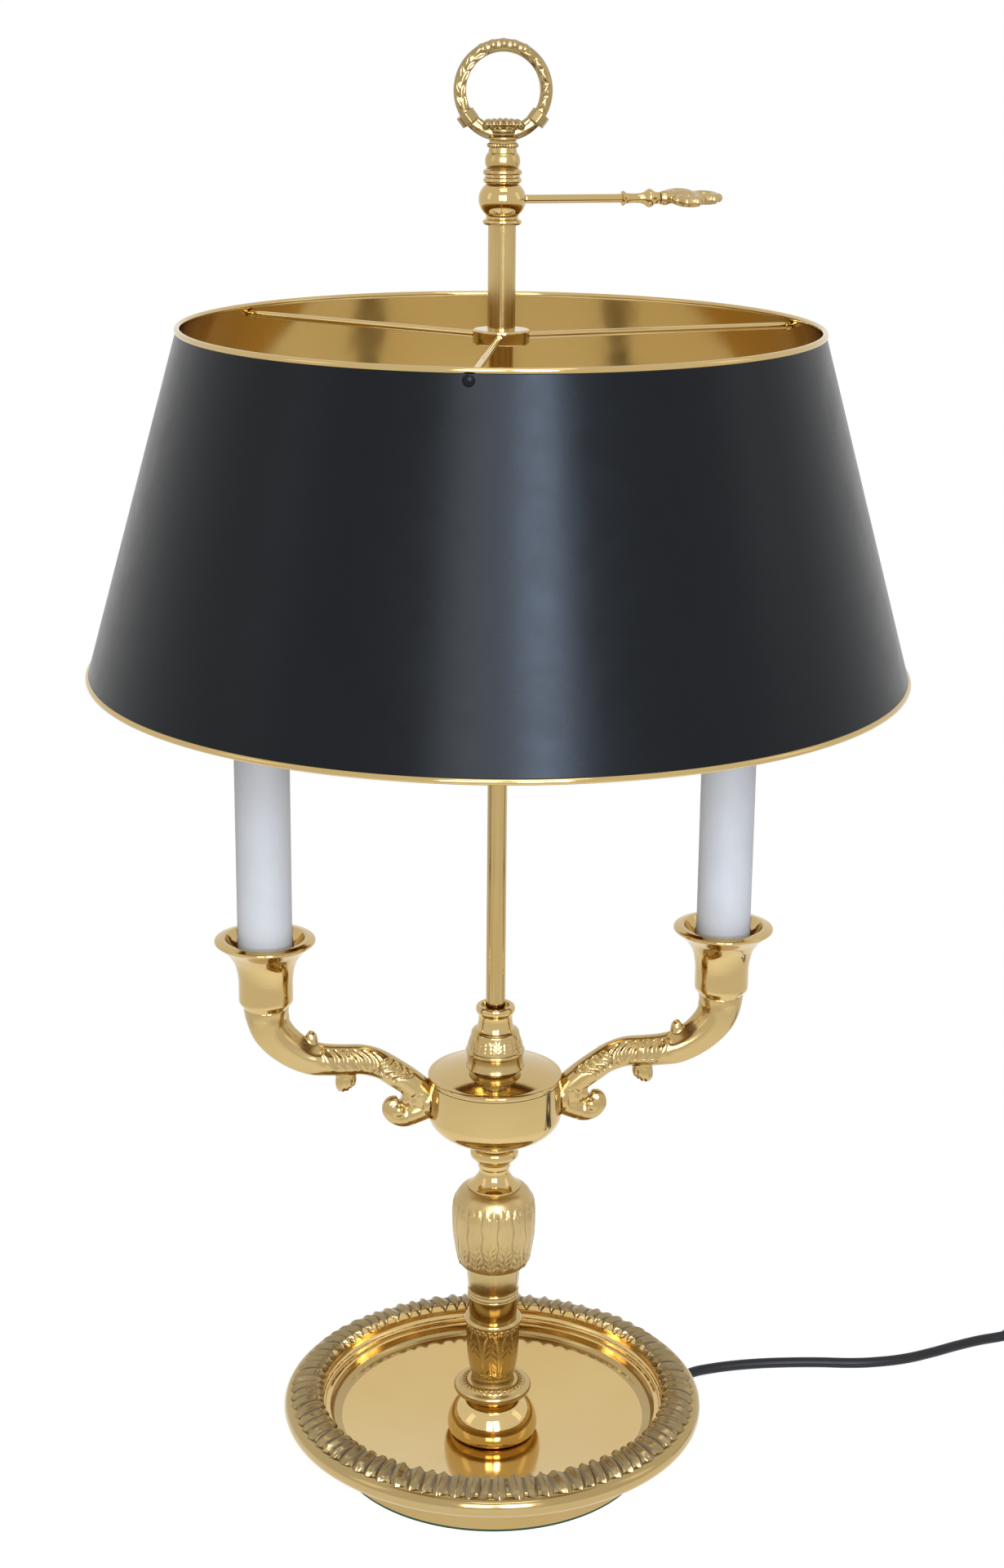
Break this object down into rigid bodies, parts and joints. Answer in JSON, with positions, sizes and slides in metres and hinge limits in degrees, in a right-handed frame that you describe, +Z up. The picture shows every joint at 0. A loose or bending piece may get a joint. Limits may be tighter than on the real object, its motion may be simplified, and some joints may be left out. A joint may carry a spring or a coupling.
{
  "type": "bouillotte table lamp",
  "caption": "Brass bouillotte table lamp: round dish base, leaf-cast stem, curved candle arms and a black cone shade that slides and turns on the centre rod, clamped by a key screw.",
  "frame": {"origin": "centre of the foot, on the surface the lamp stands on", "axes": "+Z up along the stem and rod; the two candle arms lie along X; the front is towards -Y"},
  "size_m": [0.6175, 0.351, 0.6374],
  "materials": {
    "polished_brass": "polished and lacquered, mirror-bright",
    "cast_brass": "chased casting, polished on the high points",
    "drawn_brass": "drawn rod and tube, bright",
    "zinc_steel": "zinc plated",
    "baize": "glued baize",
    "black_lacquer": "satin black lacquer outside, gold lacquer inside",
    "white_sleeve": "matt white",
    "holder_plastic": "moulded phenolic",
    "terminal_plastic": "natural nylon",
    "opal_glass": "opal",
    "black_lead": "smooth black PVC sheath",
    "white_wire": "wire insulation",
    "black_plastic": "moulded, semi-gloss"
  },
  "bodies": {
    "base": {"foot_felt": "baize", "base_dish": "polished_brass", "cord_bushing": "black_lead", "cord_clamp": "zinc_steel", "clamp_screws": "zinc_steel", "stem_tube": "drawn_brass", "stem_ball": "polished_brass", "stem_flange": "cast_brass", "stem_sleeve": "cast_brass", "stem_band": "polished_brass", "stem_urn": "cast_brass", "stem_neck": "polished_brass", "pipe_locknuts": "zinc_steel", "hub_bowl": "polished_brass", "hub_lid": "polished_brass", "hub_bell": "cast_brass", "rod_collar": "polished_brass", "rod": "drawn_brass", "rod_nut": "zinc_steel", "connector_block": "terminal_plastic", "arm_left": "cast_brass", "arm_right": "cast_brass", "arm_nuts": "zinc_steel", "cup_left": "polished_brass", "cup_right": "polished_brass", "holder_nipples": "drawn_brass", "lampholder_left": "holder_plastic", "lampholder_right": "holder_plastic", "candle_left": "white_sleeve", "candle_right": "white_sleeve", "bulb_glass_left": "opal_glass", "bulb_glass_right": "opal_glass", "bulb_caps": "zinc_steel", "stem_wire": "black_lead", "arm_wires": "white_wire", "finial_neck": "cast_brass", "ring_finial": "cast_brass", "cord_lead": "black_lead", "cord_tail": "black_lead", "cord_coil": "black_lead", "coil_tie": "black_lead", "switch_bottom": "black_plastic", "switch_top": "black_plastic", "switch_contacts": "drawn_brass", "switch_screws": "zinc_steel", "plug_body": "black_plastic", "plug_pins": "drawn_brass"},
    "guide": {"guide_bush": "terminal_plastic"},
    "carrier": {"clamp_ball": "polished_brass", "slide_tube": "drawn_brass", "spider_hub": "drawn_brass", "spider_arms": "drawn_brass", "spider_rivets": "black_lacquer", "shade_shell": "black_lacquer", "rim_bead_top": "drawn_brass", "rim_bead_bottom": "drawn_brass"},
    "key": {"key_screw": "cast_brass", "key_bow": "cast_brass"},
    "rocker": {"switch_rocker": "black_plastic"}
  },
  "joints": [
    {"name": "shade_slide", "type": "slide", "parent": "base", "child": "guide", "axis": [0, 0, 1], "range_m": [-0.085, 0]},
    {"name": "shade_turn", "type": "hinge", "parent": "guide", "child": "carrier", "pos_m": [0, 0, 0.54], "axis": [0, 0, 1], "continuous": true},
    {"name": "key_turn", "type": "hinge", "parent": "carrier", "child": "key", "pos_m": [0.04951, 0.00696, 0.5738], "axis": [0.9903, 0.1392, 0], "range_deg": [0, 360]},
    {"name": "rocker_press", "type": "hinge", "parent": "base", "child": "rocker", "pos_m": [0.322, 0.078, 0.0124], "axis": [0, 1, 0], "range_deg": [0, 14]}
  ]
}
